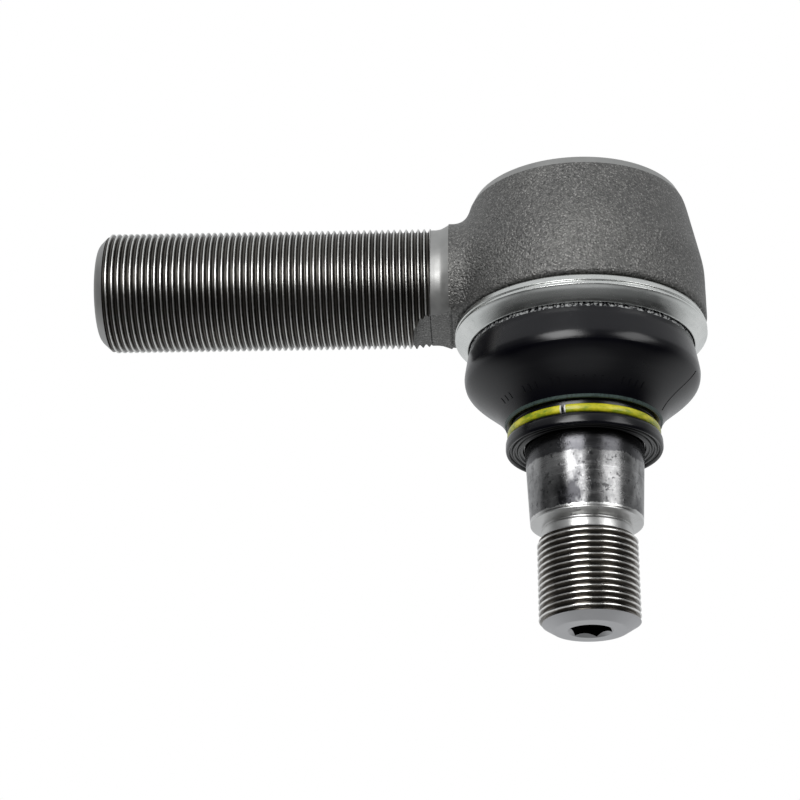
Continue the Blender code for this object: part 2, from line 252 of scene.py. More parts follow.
def helix(name, start, turns, crest, axis, material):
    """A right-handed thread of 60 degree flanks, longer than needed, to be trimmed to length."""
    columns = 96
    root = crest - THREAD_DEPTH
    profile = [                  # place along one pitch, radius
        (-0.06, crest),
        (0.06, crest),
        (0.385, root + 0.05),
        (0.5, root),
        (0.615, root + 0.05),
    ]
    per_turn = len(profile)
    rows = per_turn * turns + 1
    offsets = np.array([p[0] for p in profile])
    radii = np.array([p[1] for p in profile])
    row = np.arange(rows)
    along = row // per_turn + offsets[row % per_turn]
    angle = 2 * math.pi * np.arange(columns) / columns
    height = start + PITCH * (along[None, :] + (np.arange(columns) / columns)[:, None])
    radius = np.broadcast_to(radii[row % per_turn][None, :], height.shape)
    first = radius * np.cos(angle)[:, None]
    second = radius * np.sin(angle)[:, None]
    if axis == "Z":
        verts = np.stack([first, second, height], -1)
    else:
        verts = np.stack([height, first, second], -1)
    verts = verts.reshape(-1, 3).tolist()
    faces = []
    for j in range(columns):
        last = j == columns - 1
        shift = per_turn if last else 0
        k = 0 if last else j + 1
        for t in range(rows - 1 - shift):
            near, far = j * rows + t, k * rows + t + shift
            faces.append([near, far, far + 1, near + 1])
    lower = [j * rows for j in range(columns)] + [per_turn - i for i in range(per_turn)]
    upper = [j * rows + rows - 1 for j in range(columns - 1)]
    upper += [columns * rows - 1 - i for i in range(per_turn + 1)]
    for loop, level in ((lower, start - PITCH), (upper, start + PITCH * (turns + 1))):
        centre = len(verts)
        verts.append((0.0, 0.0, level) if axis == "Z" else (level, 0.0, 0.0))
        for a, b in zip(loop, loop[1:] + loop[:1]):
            faces.append([centre, a, b])
    obj = mesh_object(name, verts, faces, material, 25.0)
    weld(obj)
    return obj


def surface_net(field, low, high, cell):
    """Quads on a field's zero surface: one point in each cell that it crosses, moved onto it."""
    axes = [np.arange(a, b + cell, cell) for a, b in zip(low, high)]
    grid = np.stack(np.meshgrid(*axes, indexing="ij"), -1)
    values = field(grid.reshape(-1, 3)).reshape(grid.shape[:3])
    inside = values < 0
    corners = [inside[i:i - 1 or None, j:j - 1 or None, k:k - 1 or None]
               for i in (0, 1) for j in (0, 1) for k in (0, 1)]
    total = sum(corner.astype(int) for corner in corners)
    crossed = (total > 0) & (total < 8)
    index = -np.ones(crossed.shape, int)
    index[crossed] = np.arange(crossed.sum())
    cells = np.argwhere(crossed)
    points = np.stack([axes[a][cells[:, a]] + cell / 2 for a in range(3)], -1)
    faces = []
    for a in range(3):
        b, c = (a + 1) % 3, (a + 2) % 3
        near = [slice(None)] * 3
        far = [slice(None)] * 3
        near[a], far[a] = slice(None, -1), slice(1, None)
        change = inside[tuple(near)] != inside[tuple(far)]
        for spot in np.argwhere(change):
            if min(spot[b], spot[c]) < 1:
                continue
            quad = []
            for db, dc in ((-1, -1), (0, -1), (0, 0), (-1, 0)):
                place = list(spot)
                place[b] += db
                place[c] += dc
                quad.append(index[tuple(place)])
            if not inside[tuple(spot)]:
                quad.reverse()
            faces.append(quad)
    step = cell * 0.05
    for _ in range(6):
        slope = np.stack([field(points + step * unit) - field(points - step * unit)
                          for unit in np.eye(3)], -1) / (2 * step)
        size = np.maximum((slope ** 2).sum(-1), 0.05)
        points = points - slope * (np.clip(field(points), -cell, cell) / size)[:, None] * 0.8
    return points, faces


# ---- materials -------------------------------------------------------------------------------
class Finish:
    """A material under construction: a Principled shader fed by procedural nodes."""

    def __init__(self, name, colour=(0.5, 0.5, 0.5), roughness=0.5, metallic=0.0):
        self.material = bpy.data.materials.new(name)
        self.material.use_nodes = True
        self.nodes = self.material.node_tree.nodes
        self.links = self.material.node_tree.links
        self.shader = self.nodes["Principled BSDF"]
        self.shader.inputs["Base Color"].default_value = (*colour, 1.0)
        self.shader.inputs["Roughness"].default_value = roughness
        self.shader.inputs["Metallic"].default_value = metallic
        self.where = self.nodes.new("ShaderNodeTexCoord").outputs["Object"]
        self.normal = None

    def stretched(self, scale):
        node = self.nodes.new("ShaderNodeMapping")
        node.inputs["Scale"].default_value = scale
        self.links.new(self.where, node.inputs["Vector"])
        return node.outputs["Vector"]

    def noise(self, scale, detail=2.0, roughness=0.5, vector=None):
        node = self.nodes.new("ShaderNodeTexNoise")
        node.inputs["Scale"].default_value = scale
        node.inputs["Detail"].default_value = detail
        node.inputs["Roughness"].default_value = roughness
        self.links.new(vector or self.where, node.inputs["Vector"])
        return node.outputs["Fac"]

    def cells(self, scale):
        """Distance from the middle of each small cell."""
        node = self.nodes.new("ShaderNodeTexVoronoi")
        node.inputs["Scale"].default_value = scale
        self.links.new(self.where, node.inputs["Vector"])
        return node.outputs["Distance"]

    def cell_values(self, scale):
        """One random value for each small cell."""
        node = self.nodes.new("ShaderNodeTexVoronoi")
        node.inputs["Scale"].default_value = scale
        self.links.new(self.where, node.inputs["Vector"])
        split = self.nodes.new("ShaderNodeSeparateColor")
        self.links.new(node.outputs["Color"], split.inputs["Color"])
        return split.outputs["Red"]

    def ramp(self, value, stops):
        node = self.nodes.new("ShaderNodeValToRGB")
        elements = node.color_ramp.elements
        while len(elements) < len(stops):
            elements.new(0.5)
        for element, (position, colour) in zip(elements, stops):
            shade = colour if isinstance(colour, tuple) else (colour, colour, colour)
            element.position = position
            element.color = (*shade, 1.0)
        self.links.new(value, node.inputs["Fac"])
        return node.outputs["Color"]

    def math(self, operation, first, second=None, clamp=False):
        node = self.nodes.new("ShaderNodeMath")
        node.operation = operation
        node.use_clamp = clamp
        for socket, value in zip(node.inputs, (first, second)):
            if value is None:
                continue
            if isinstance(value, (int, float)):
                socket.default_value = value
            else:
                self.links.new(value, socket)
        return node.outputs["Value"]

    def blend(self, factor, first, second, mode="MIX"):
        node = self.nodes.new("ShaderNodeMix")
        node.data_type = "RGBA"
        node.blend_type = mode
        node.clamp_factor = True
        for name, value in (("Factor", factor), ("A", first), ("B", second)):
            socket = [s for s in node.inputs if s.name == name and s.enabled][0]
            if isinstance(value, tuple):
                socket.default_value = (*value, 1.0)
            elif isinstance(value, (int, float)):
                socket.default_value = value
            else:
                self.links.new(value, socket)
        return [s for s in node.outputs if s.enabled][0]

    def split(self):
        """The place's X, Y and Z, in metres."""
        node = self.nodes.new("ShaderNodeSeparateXYZ")
        self.links.new(self.where, node.inputs["Vector"])
        return node.outputs["X"], node.outputs["Y"], node.outputs["Z"]

    def colour(self, value):
        self.links.new(value, self.shader.inputs["Base Color"])

    def roughness(self, value):
        self.links.new(value, self.shader.inputs["Roughness"])

    def bump(self, height, strength, distance):
        node = self.nodes.new("ShaderNodeBump")
        node.inputs["Strength"].default_value = strength
        node.inputs["Distance"].default_value = distance
        self.links.new(height, node.inputs["Height"])
        if self.normal:
            self.links.new(self.normal, node.inputs["Normal"])
        self.normal = node.outputs["Normal"]
        self.links.new(self.normal, self.shader.inputs["Normal"])

    def set(self, name, value):
        self.shader.inputs[name].default_value = value


def forged_finish():
    """Shot-blasted forging: dark grey metal, a peened grain, and small random cells painted lighter
    as highlights.
    """
    f = Finish("forged_skin", metallic=0.8)
    patches = f.noise(55.0, 3.0, 0.6)
    grain = f.noise(1500.0, 2.5, 0.62)
    dents = f.cells(1900.0)
    facets = f.cell_values(3200.0)
    dark, light = (0.136, 0.135, 0.132), (0.183, 0.182, 0.175)
    tone = f.blend(f.ramp(patches, [(0.3, 0.0), (0.7, 1.0)]), dark, light)
    shade = f.ramp(grain, [(0.32, 0.66), (0.5, 1.0), (0.68, 1.3)])
    tone = f.blend(1.0, tone, shade, "MULTIPLY")
    # painted highlight: some small cells take a lighter colour that stands in for facets catching the
    # light
    painted_glint = f.ramp(facets, [(0.72, 0.0), (0.97, 1.0)])
    bright = (0.55, 0.54, 0.52)
    f.colour(f.blend(f.math("MULTIPLY", painted_glint, 0.42), tone, bright))
    f.roughness(f.ramp(grain, [(0.3, 0.38), (0.7, 0.58)]))
    f.bump(grain, 1.0, 0.00032)
    f.bump(dents, 0.7, 0.0002)
    return f.material


def turned_finish(name, tone, roughness, grooves, axis, metallic=1.0):
    """Turned metal: fine rings along one axis, light smudges."""
    f = Finish(name, metallic=metallic)
    squeeze = (0.02, 0.02, 1.0) if axis == "Z" else (1.0, 0.02, 0.02)
    rings = f.noise(grooves, 2.0, 0.6, f.stretched(squeeze))
    smudge = f.noise(140.0, 4.0, 0.6)
    low = tuple(c * 0.82 for c in tone)
    f.colour(f.blend(f.ramp(smudge, [(0.35, 0.0), (0.7, 1.0)]), low, tone))
    f.roughness(f.ramp(smudge, [(0.3, roughness * 0.8), (0.75, roughness * 1.3)]))
    f.bump(rings, 0.25, 0.00006)
    return f.material


def radius_from(f, x, y, centre):
    """Distance of the place from an upright or level axis, in millimetres."""
    first = f.math("SUBTRACT", x, centre[0])
    second = f.math("SUBTRACT", y, centre[1])
    square = f.math("ADD", f.math("MULTIPLY", first, first), f.math("MULTIPLY", second, second))
    return f.math("MULTIPLY", f.math("SQRT", square), 1.0 / MM)


def thread_finish(name, axis, crest, dark, light, roughness):
    """Thread: roots painted dark as shade and crests painted light as a highlight, by distance from
    the axis; the crests slightly broken.
    """
    crown_depth, crown_fade = 0.34, 0.24     # where the painted crest highlight starts below the crest, its edge
    f = Finish(name, metallic=1.0)
    x, y, z = f.split()
    radius = radius_from(f, x, y, BALL) if axis == "Z" else radius_from(f, y, z, (BALL[1], BALL[2]))
    nicks = f.noise(900.0, 3.0, 0.7)
    bite = f.math("MULTIPLY", f.math("SUBTRACT", nicks, 0.5), 0.5)
    level = f.math("ADD", radius, bite)
    above = f.math("SUBTRACT", level, crest - crown_depth)
    crest_highlight_band = f.math("MULTIPLY", above, 1.0 / crown_fade, clamp=True)
    film = f.noise(120.0, 3.0, 0.6)
    # painted shade: the roots take the dark colour, varied a little by a film of tone
    low = f.blend(f.ramp(film, [(0.35, 0.0), (0.7, 1.0)]), dark, tuple(c * 1.8 for c in dark))
    # painted highlight on the crests: the light colour, over a band that is also a little rougher
    f.colour(f.blend(crest_highlight_band, low, light))
    f.roughness(f.ramp(crest_highlight_band, [(0.0, roughness * 0.9), (1.0, roughness * 1.1)]))
    f.bump(f.noise(2500.0, 2.0, 0.6), 0.25, 0.00005)
    return f.material


def zinc_finish():
    """Satin plating: streaks round the ring, faint clouds and short upright scuffs."""
    f = Finish("zinc_plating", metallic=1.0)
    streaks = f.noise(900.0, 3.0, 0.65, f.stretched((0.25, 0.25, 1.0)))
    clouds = f.noise(90.0, 4.0, 0.6)
    dark, light = (0.72, 0.74, 0.72), (0.83, 0.84, 0.82)
    tone = f.blend(f.ramp(clouds, [(0.3, 0.0), (0.7, 1.0)]), dark, light)
    scratches = f.noise(420.0, 4.0, 0.75, f.stretched((1.0, 1.0, 0.35)))
    scuff = f.ramp(scratches, [(0.62, 0.0), (0.7, 1.0)])
    f.colour(f.blend(f.math("MULTIPLY", scuff, 0.35), tone, (0.48, 0.49, 0.48)))
    f.roughness(f.ramp(streaks, [(0.3, 0.18), (0.7, 0.32)]))
    f.bump(streaks, 0.2, 0.00005)
    f.set("Anisotropic", 0.4)
    return f.material


def rubber_finish(name, mark_colour=None, stops=None):
    """Black rubber, faintly cloudy, with an optional broken mark over it."""
    f = Finish(name, metallic=0.0)
    grain = f.noise(2600.0, 2.0, 0.6)
    bloom = f.noise(110.0, 4.0, 0.6)
    cloud = f.ramp(bloom, [(0.35, 0.0), (0.75, 1.0)])
    tone = f.blend(cloud, (0.0008, 0.0008, 0.0028), (0.0018, 0.0018, 0.0042))
    rough = f.ramp(bloom, [(0.3, 0.2), (0.7, 0.28)])
    if mark_colour:
        mark = f.ramp(f.noise(1500.0, 3.0, 0.7), stops)
        tone = f.blend(mark, tone, mark_colour)
        rough = f.blend(mark, rough, (0.6, 0.6, 0.6))
    f.colour(tone)
    f.roughness(rough)
    f.bump(grain, 0.2, 0.000012)
    return f.material


def yellow_finish():
    """Streaked yellow, bare and pale where it is chipped at the ring's split."""
    chip = 0.26                  # how far the chipping reaches from each cut end, in millimetres
    f = Finish("clamp_yellow", metallic=0.0)
    streaks = f.noise(260.0, 3.0, 0.6, f.stretched((1.0, 1.0, 2.5)))
    green, yellow, pale = (0.24, 0.34, 0.012), (0.58, 0.56, 0.012), (0.8, 0.74, 0.035)
    tone = f.ramp(streaks, [(0.36, green), (0.5, yellow), (0.64, pale)])
    x, y, _ = f.split()
    ahead = (math.cos(SPLIT_ANGLE), math.sin(SPLIT_ANGLE))
    aside = (-ahead[1], ahead[0])
    across = f.math("ADD", f.math("MULTIPLY", x, aside[0]), f.math("MULTIPLY", y, aside[1]))
    along = f.math("ADD", f.math("MULTIPLY", x, ahead[0]), f.math("MULTIPLY", y, ahead[1]))
    near = f.math("LESS_THAN", f.math("ABSOLUTE", across), (SPLIT_HALF + chip) * MM)
    chipped = f.math("MULTIPLY", near, f.math("GREATER_THAN", along, 0.0))
    f.colour(f.blend(chipped, tone, (0.9, 0.9, 0.85)))
    f.roughness(f.ramp(streaks, [(0.3, 0.32), (0.7, 0.45)]))
    f.bump(f.noise(1500.0, 2.0, 0.6), 0.2, 0.00005)
    f.set("Coat Weight", 0.3)
    return f.material


def cone_finish():
    """Ground cone, smudged and pitted, with a dark coat left on its upper part."""
    coat_edge, worn_edge, scribed_line = -49.3, -61.15, -53.0    # heights from the ball's centre
    f = Finish("cone_steel", metallic=1.0)
    z = f.split()[2]
    height = f.math("MULTIPLY", f.math("SUBTRACT", z, BALL[2]), 1.0 / MM)
    edge = f.noise(170.0, 4.0, 0.7)
    ragged = f.math("ADD", height, f.math("MULTIPLY", f.math("SUBTRACT", edge, 0.5), 3.0))
    coat = f.math("MULTIPLY", f.math("SUBTRACT", ragged, coat_edge), 2.5, clamp=True)
    film = f.noise(75.0, 5.0, 0.65, f.stretched((1.0, 1.0, 0.6)))
    brushed = f.noise(700.0, 3.0, 0.7, f.stretched((0.08, 0.08, 1.0)))
    smudged, bare = (0.035, 0.035, 0.038), (0.42, 0.42, 0.42)
    ground = f.blend(f.ramp(film, [(0.38, 0.0), (0.62, 1.0)]), smudged, bare)
    pits = f.ramp(f.noise(650.0, 3.0, 0.75), [(0.57, 0.0), (0.65, 1.0)])
    ground = f.blend(f.math("MULTIPLY", pits, 0.75), ground, (0.02, 0.02, 0.022))
    chips = f.math("ADD", height, f.math("MULTIPLY", f.noise(520.0, 4.0, 0.8), 1.6))
    worn = f.math("MULTIPLY", f.math("SUBTRACT", worn_edge, chips), 6.0, clamp=True)
    ground = f.blend(f.math("MULTIPLY", worn, 0.8), ground, (0.75, 0.75, 0.74))
    off_line = f.math("ABSOLUTE", f.math("SUBTRACT", height, scribed_line))
    scribed = f.math("LESS_THAN", off_line, 0.09)
    ground = f.blend(f.math("MULTIPLY", scribed, 0.18), ground, (0.6, 0.6, 0.6))
    f.colour(f.blend(f.math("MULTIPLY", coat, 0.85), ground, (0.058, 0.058, 0.064)))
    f.roughness(f.ramp(brushed, [(0.3, 0.16), (0.7, 0.3)]))
    f.bump(brushed, 0.3, 0.00005)
    f.bump(pits, 0.25, 0.00006)
    return f.material


FORGED = forged_finish()
MACHINED = turned_finish("machined_forging", (0.5, 0.5, 0.49), 0.5, 2500.0, "X")
RIM = turned_finish("machined_rim", (0.45, 0.45, 0.44), 0.4, 2500.0, "Z")
SHANK_THREAD = thread_finish(
    "shank_thread_steel", "X", SHANK_CREST, (0.085, 0.08, 0.073), (0.82, 0.82, 0.8), 0.34)
STUD_THREAD = thread_finish(
    "stud_thread_steel", "Z", STUD_CREST, (0.14, 0.13, 0.118), (0.86, 0.85, 0.83), 0.21)
STUD_FACE = turned_finish("stud_end_steel", (0.66, 0.66, 0.67), 0.5, 3000.0, "Z")
STUD_LAND = turned_finish("stud_land_steel", (0.62, 0.62, 0.61), 0.42, 3000.0, "Z")
SHOULDER = turned_finish("stud_shoulder_steel", (0.68, 0.68, 0.67), 0.3, 3000.0, "Z")
CONE = cone_finish()
ZINC = zinc_finish()
RUBBER = rubber_finish("boot_rubber_skin")
RUBBER_FLECKED = rubber_finish("boot_rubber_flecked", (0.42, 0.43, 0.43), [(0.48, 0.0), (0.54, 1.0)])
GROOVE_LINE = rubber_finish("boot_groove_line", (0.05, 0.085, 0.075), [(0.3, 0.2), (0.55, 1.0)])
YELLOW = yellow_finish()
COVER = turned_finish("cover_pressed_steel", (0.36, 0.36, 0.36), 0.38, 600.0, "Z")


# ---- the forging -----------------------------------------------------------------------------
DRAFT_START = 2.0            # height above which the eye's wall drafts inward
DRAFT_SLOPE = 0.205
ROLL_START = 18.8            # height above which the wall is rolled in over the cover
ROLL_SLOPE = 0.12
WEB_START = -31.0            # where the neck starts to widen toward the eye
NECK_FADE = -17.0            # where the neck sinks into the eye
BLANK_TOP = 24.0
BLANK_OVERLAP = 2.0          # how far the blank runs past the collar's face before it is cut


def soft_max(a, b, blend):
    """The larger of two fields, with a fillet of the given size where they meet."""
    h = np.clip(0.5 + 0.5 * (a - b) / blend, 0, 1)
    return b + (a - b) * h + blend * h * (1 - h)


def soft_min(a, b, blend):
    return -soft_max(-a, -b, blend)


def ramp_up(value, softness):
    """Nothing below 0, the value itself above it, and a soft knee between."""
    return softness * np.logaddexp(0, value / softness)


def eye_radius(z):
    """Barrel of the eye: straight below, drafted inward above, rolled in at the rim."""
    draft = DRAFT_SLOPE * ramp_up(z - DRAFT_START, 0.9)
    roll = ROLL_SLOPE * ramp_up(z - ROLL_START, 0.5)
    return EYE_RADIUS - draft - roll


def forging_field(p):
    """Negative inside the forged blank: the eye, the neck and the flat underside."""
    x, y, z = p[:, 0], p[:, 1], p[:, 2]
    eye = (np.hypot(x, y) - eye_radius(z)) * 0.98
    toward_eye = np.maximum(x - WEB_START, 0.0)
    web = 1.0 + 0.5 * (1 - np.exp(-0.011 * toward_eye ** 2))
    depth = np.hypot(y / web, z)
    neck = depth - NECK_RADIUS + 0.6 * ramp_up(x - NECK_FADE, 1.5)
    upright = np.abs(z) / np.maximum(depth, 1.0)
    body = soft_min(eye, neck, 1.6 + 2.4 * upright ** 2)
    body = soft_max(body, EYE_FLOOR - z, 1.3)
    body = np.maximum(body, -(x + COLLAR_END + BLANK_OVERLAP))
    return np.maximum(body, z - BLANK_TOP)


def build_forging():
    """The forged eye and neck, then the cuts that machine its rim, bore and neck."""
    low = (-37.0, -34.0, EYE_FLOOR - 1.6)
    high = (34.0, 34.0, 25.0)
    cell = 0.62
    points, faces = surface_net(forging_field, low, high, cell)
    forging = mesh_object("housing_forging", points, faces, FORGED, 50.0)
    weld(forging)
    clear, rim_flat = 40.0, 26.2
    rim = [
        (0.0, clear),
        (36.0, clear),
        (28.65, 16.9),
        (rim_flat, RIM_TOP),
        (0.0, RIM_TOP),
    ]
    cut(forging, turned("rim_tool", rim, RIM, closed=False), angle=32.0)
    cover_ledge, cover_bore, rim_under, rim_inner = 17.8, 25.0, 21.0, 22.6
    seat_bore, seat_floor, throat = 23.5, -9.1, 18.3
    bore = [
        (0.0, RIM_TOP + 5.0),
        (rim_inner + 0.6, RIM_TOP + 5.0),
        (rim_inner + 0.6, RIM_TOP + 0.02),
        (rim_inner, RIM_TOP - 0.45),
        (rim_inner, rim_under),
        (cover_bore, rim_under),
        (cover_bore, cover_ledge),
        (seat_bore, cover_ledge),
        (seat_bore, seat_floor),
        (throat, seat_floor),
        (20.0, EYE_FLOOR - 4.0),
        (0.0, EYE_FLOOR - 4.0),
    ]
    cut(forging, turned("bore_tool", bore, RIM, closed=False), angle=32.0)
    end, reach, far = COLLAR_END + 0.2, 30.0, 60.0
    outline = [(-end, -reach), (-end, reach), (-far, reach), (-far, -reach)]
    cut(forging, prism("neck_tool", outline, -31.0, 31.0, "Y", MACHINED), angle=32.0)
    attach(forging, "housing")
    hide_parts("housing")

    outer, buried = 29.3, EYE_FLOOR + 1.0
    section = [(outer, buried), (outer, HOUSING_SPIGOT), (20.0, HOUSING_SPIGOT), (19.3, buried)]
    spigot = turned("ring_spigot", section, RIM)
    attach(spigot, "housing")


def underside_tool(name):
    """The forging's flat underside, curving away below the thread."""
    end, radius = 41.4, 4.6
    rim = arc(radius - end, EYE_FLOOR - radius, radius, 90.0, 180.0, 16)
    outline = [(-28.0, EYE_FLOOR)] + rim + [(-end, -30.0), (-28.0, -30.0)]
    return prism(name, outline, -25.1, 25.3, "Y", FORGED)


def build_shank():
    """Threaded shank and the turned collar that runs out into the forged neck."""
    first = -SHANK_END - 1.9
    turns = 57
    clear = SHANK_CREST + 0.12
    thread = helix("shank_thread", first, turns, SHANK_CREST, "X", SHANK_THREAD)
    envelope = soften([
        (0.0, SHANK_END),
        (12.0, SHANK_END, 0.35),
        (12.75, SHANK_END - 0.55, 0.3),
        (clear, SHANK_END - 3.0),
        (clear, COLLAR_START - 0.3),
        (0.0, COLLAR_START - 0.3),
    ])
    limits = turned(
        "length_tool", envelope, MACHINED, closed=False, steps=180, axis="X", phase=0.37)
    cut(limits, underside_tool("thread_underside_tool"))
    cut(thread, limits, "INTERSECT", 25.0)
    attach(thread, "housing")

    waist, foot = 14.56, 15.96   # the collar's radius at its thinnest, and where it meets the neck
    flare = curve_through([(waist, 35.4), (14.74, 34.3), (15.2, 33.3), (foot, COLLAR_END)], 6)
    section = [(0.0, COLLAR_START), (14.2, COLLAR_START), (waist, COLLAR_START - 0.35)]
    section += flare
    section += [(foot, COLLAR_END - 0.25), (14.5, COLLAR_END - 0.6), (0.0, COLLAR_END - 0.6)]
    collar = turned("shank_collar", section, MACHINED, closed=False, axis="X")
    cut(collar, underside_tool("collar_underside_tool"))
    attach(collar, "housing")


# ---- cover, rings and boot -------------------------------------------------------------------
def build_cover():
    """Dished pressing, held by its flange under the rolled rim."""
    top = COVER_TOP
    flange_top, plug, edge, underside = 20.7, 23.35, 24.7, 18.1
    section = soften([
        (0.0, top - 0.5),
        (2.6, top - 0.5, 0.8),
        (4.2, top, 0.8),
        (13.4, top, 0.9),
        (15.6, flange_top, 0.9),
        (plug, flange_top),
        (plug, 19.4),
        (edge, 19.4),
        (edge, underside),
        (14.5, underside),
        (12.5, 20.2),
        (0.0, 20.2),
    ])
    cover = turned("cover_plate_pressed", section, COVER, closed=False)
    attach(cover, "housing")
    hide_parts("cover_plate")


def build_retaining_ring():
    """Rolled top edge, a fine groove and bead, then a slightly hollow cone with a bright lip."""
    top, bottom, outer = RING_HIGH[2], RING_LOW[2], RING_HIGH[0]
    cone = curve_through([(30.65, -14.75), (29.95, -15.3), (29.05, -16.25), (28.35, -17.2)], 6)
    lip = [cone[-1], (28.05, bottom, 0.2), (27.6, bottom, 0.2), (27.62, -17.3)]
    section = soften([
        (29.65, top - 0.3),
        (29.75, top, 0.25),
        (30.3, top, 0.2),
        (30.42, top - 0.2, 0.2),
        (outer - 0.02, -13.45, 0.2),
        (outer - 0.3, -13.62, 0.08),
        (outer - 0.24, -13.74, 0.08),
        (outer - 0.02, -14.5, 0.12),
        cone[0],
    ])
    section += cone[1:] + soften(lip)[1:] + [(29.0, -15.3), (29.62, -14.3)]
    ring = turned("retaining_ring_rolled", section, ZINC, angle=50.0)
    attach(ring, "housing")
    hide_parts("boot_retaining_ring")


BOOT_SEAM = -27.2            # height where the two halves of the boot meet, below its widest circle
SEAM_OUTER = 28.35           # radii of the skin and of the lining there
SEAM_INNER = 25.6
MARK_ANGLES = (203, 208, 213, 226, 231, 236, 247, 252, 263, 268, 275, 280, 294, 299, 304, 309)
PARTING_ANGLE = 341.0        # where the mould's halves met, from +X about +Z
DASH_TOP = -33.5
DASH_BOTTOM = -35.3
BOOT_SKIN = [
    (27.35, -17.7),
    (27.55, -19.0),
    (27.9, -20.5),
    (28.25, -22.5),
    (28.55, -24.3),
    (28.65, -25.6),
    (SEAM_OUTER, BOOT_SEAM),
    (27.5, -28.5),
    (25.93, -30.0),
    (24.11, -31.5),
    (22.36, -33.0),
    (20.87, -34.5),
    (19.7, -36.1),
    (19.05, -37.2),
]
BOOT_LINING = [
    (16.8, -36.9),
    (17.9, -35.3),
    (20.0, -32.9),
    (22.6, -30.6),
    (24.9, -28.3),
    (SEAM_INNER, BOOT_SEAM),
    (26.15, -25.6),
    (25.8, -22.0),
    (25.1, -19.0),
    (24.5, -16.5),
]


def part_at_seam(points):
    """Splits a smooth line of points where the boot's halves meet."""
    upper = [p for p in points if p[1] > BOOT_SEAM + 0.02]
    lower = [p for p in points if p[1] < BOOT_SEAM - 0.02]
    return upper, lower


def paint_band(obj, low, high, material):
    """Another finish on the outer faces between two heights, which stays put as they bend."""
    obj.data.materials.append(material)
    index = len(obj.data.materials) - 1
    for face in obj.data.polygons:
        spot = (face.center - BALL) / MM
        if low < spot.z < high and spot.x * face.normal.x + spot.y * face.normal.y > 1.0:
            face.material_index = index


def moulded_marks(skin):
    """Plain dashes and one parting line, as thin blades that stand just proud of the boot's flank."""
    marks = [(azimuth, DASH_TOP, DASH_BOTTOM, 0.16, 0.24) for azimuth in MARK_ANGLES]
    marks.append((PARTING_ANGLE, BOOT_SEAM - 0.3, -36.6, 0.12, 0.11))
    verts, faces = [], []
    for azimuth, top, bottom, proud, half in marks:
        line = [p for p in skin if bottom <= p[1] <= top]
        outline = [(r + proud, z) for r, z in line] + [(r - 0.5, z) for r, z in reversed(line)]
        turn = math.radians(azimuth)
        count, base = len(outline), len(verts)
        for side in (-half, half):
            for r, z in outline:
                x = r * math.cos(turn) - side * math.sin(turn)
                y = r * math.sin(turn) + side * math.cos(turn)
                verts.append((x, y, z))
        faces.append([base + i for i in range(count)])
        faces.append([base + count + i for i in range(count)])
        for i in range(count):
            j = (i + 1) % count
            faces.append([base + i, base + j, base + count + j, base + count + i])
    blades = mesh_object("moulded_blades", verts, faces, RUBBER)
    weld(blades)
    return blades


def build_boot():
    """The boot in two halves that meet at a seam below its widest circle: the upper with its bead,
    the lower with its lip, groove and moulded marks.
    """
    skin = curve_through(BOOT_SKIN, 4)
    lining = curve_through(BOOT_LINING, 3)
    skin_upper, skin_lower = part_at_seam(skin)
    lining_upper, lining_lower = part_at_seam(lining)
    seam_out, seam_in = (SEAM_OUTER, BOOT_SEAM), (SEAM_INNER, BOOT_SEAM)

    bead = soften([(24.3, -14.3), (28.8, -14.3, 0.3), (28.6, -15.2, 0.5), skin_upper[0]])
    upper = bead[:-1] + skin_upper + [seam_out, seam_in] + lining_upper
    top = turned("boot_upper", upper, RUBBER, angle=45.0)
    paint_band(top, RING_LOW[2] - 0.75, RING_LOW[2] + 0.2, RUBBER_FLECKED)

    clamp_bottom = CLAMP_LOW[2] - 0.3
    lip_wall, lip_inner = 16.8, 14.75
    lip = soften([
        skin_lower[-1],
        (18.86, GROOVE_TOP + 0.12, 0.12),
        (18.5, GROOVE_TOP, 0.12),
        (GROOVE_RADIUS, GROOVE_TOP, 0.15),
        (GROOVE_RADIUS, clamp_bottom, 0.15),
        (18.55, clamp_bottom, 0.2),
        (18.85, -42.2, 0.3),
        (18.9, -44.0, 0.35),
        (18.6, BOOT_BOTTOM, 0.15),
        (18.1, BOOT_BOTTOM + 0.12, 0.12),
        (17.85, BOOT_BOTTOM + 0.75, 0.12),
        (17.45, BOOT_BOTTOM + 0.75, 0.12),
        (17.2, BOOT_BOTTOM + 0.25, 0.12),
        (16.85, BOOT_BOTTOM + 0.25, 0.12),
        (16.6, BOOT_BOTTOM + 0.8, 0.12),
        (16.2, BOOT_BOTTOM + 0.8, 0.12),
        (15.95, BOOT_BOTTOM + 0.3, 0.12),
        (15.6, BOOT_BOTTOM + 0.3, 0.12),
        (15.4, BOOT_BOTTOM + 0.7, 0.1),
        (lip_inner, BOOT_BOTTOM + 0.5, 0.1),
        (lip_inner, -43.8),
        (lip_wall, -43.4),
        (lip_wall, -36.9),
    ], 3)
    lower = [seam_out] + skin_lower[:-1] + lip[:-1] + lining_lower + [seam_in]
    bottom = turned("boot_lower", lower, RUBBER, angle=45.0)
    cut(bottom, moulded_marks(skin_lower), "UNION", 45.0)
    paint_band(bottom, GROOVE_TOP + 0.02, GROOVE_TOP + 0.8, GROOVE_LINE)

    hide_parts("boot")
    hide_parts("boot")
    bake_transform(top)
    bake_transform(bottom)


